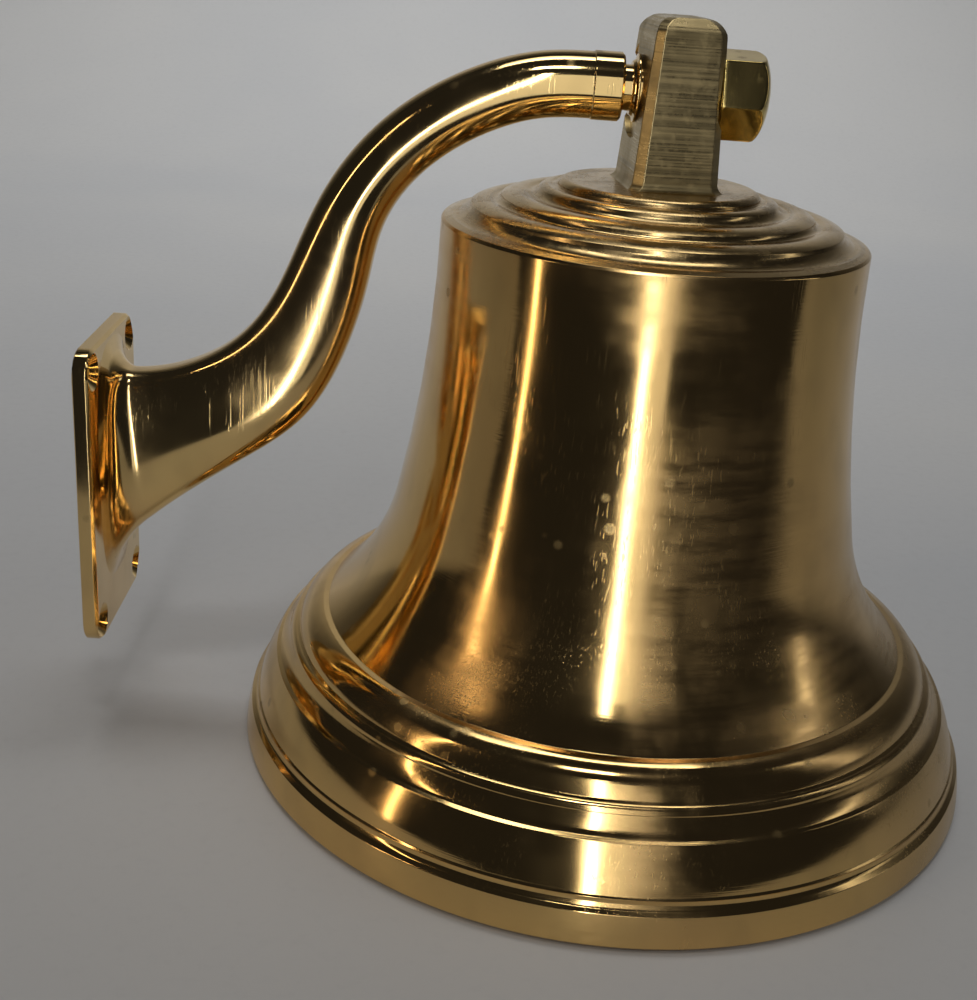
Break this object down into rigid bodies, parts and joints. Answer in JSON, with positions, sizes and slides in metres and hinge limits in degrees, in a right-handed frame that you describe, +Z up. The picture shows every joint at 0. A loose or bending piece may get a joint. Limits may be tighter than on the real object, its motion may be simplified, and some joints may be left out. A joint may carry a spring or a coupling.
{
  "type": "ship bell",
  "caption": "Cast brass ship bell that swings on an S-shaped wall bracket, with a lug, cap nut and an inside clapper for a bell rope.",
  "frame": {"origin": "middle of the wall plate's back face", "axes": "+X out of the wall towards the bell, +Z up, +Y away from a viewer who has the wall on the left"},
  "size_m": [0.214, 0.178, 0.171],
  "materials": {
    "bracket_brass": "mirror polished with fine handling scratches",
    "bell_brass": "lathe polished, hazy, crown and lug brushed and slightly dull",
    "nut_brass": "polished, slightly tarnished",
    "clapper_brass": "cast and turned, dull",
    "steel_pin": "turned steel"
  },
  "bodies": {
    "bracket": {"wall_bracket": "bracket_brass", "pivot_stud": "bracket_brass", "thrust_collar": "bracket_brass", "dome_nut": "nut_brass"},
    "bell_body": {"bell": "bell_brass", "crown_washer": "clapper_brass", "crown_bolt": "clapper_brass"},
    "hanger": {"hanger_fork": "clapper_brass", "clapper_pin": "steel_pin", "split_pin": "steel_pin"},
    "clapper": {"clapper_rod": "clapper_brass", "clapper_ball": "clapper_brass", "clapper_tail": "clapper_brass"}
  },
  "joints": [
    {"name": "bell_swing", "type": "hinge", "parent": "bracket", "child": "bell_body", "pos_m": [0.125, 0, 0.097], "axis": [1, 0, 0], "range_deg": [-60, 60]},
    {"name": "hanger_turn", "type": "hinge", "parent": "bell_body", "child": "hanger", "pos_m": [0.125, 0, 0.0592], "axis": [0, 0, 1], "continuous": true},
    {"name": "clapper_swing", "type": "hinge", "parent": "hanger", "child": "clapper", "pos_m": [0.125, 0, 0.0412], "axis": [1, 0, 0], "range_deg": [-34, 34]}
  ]
}
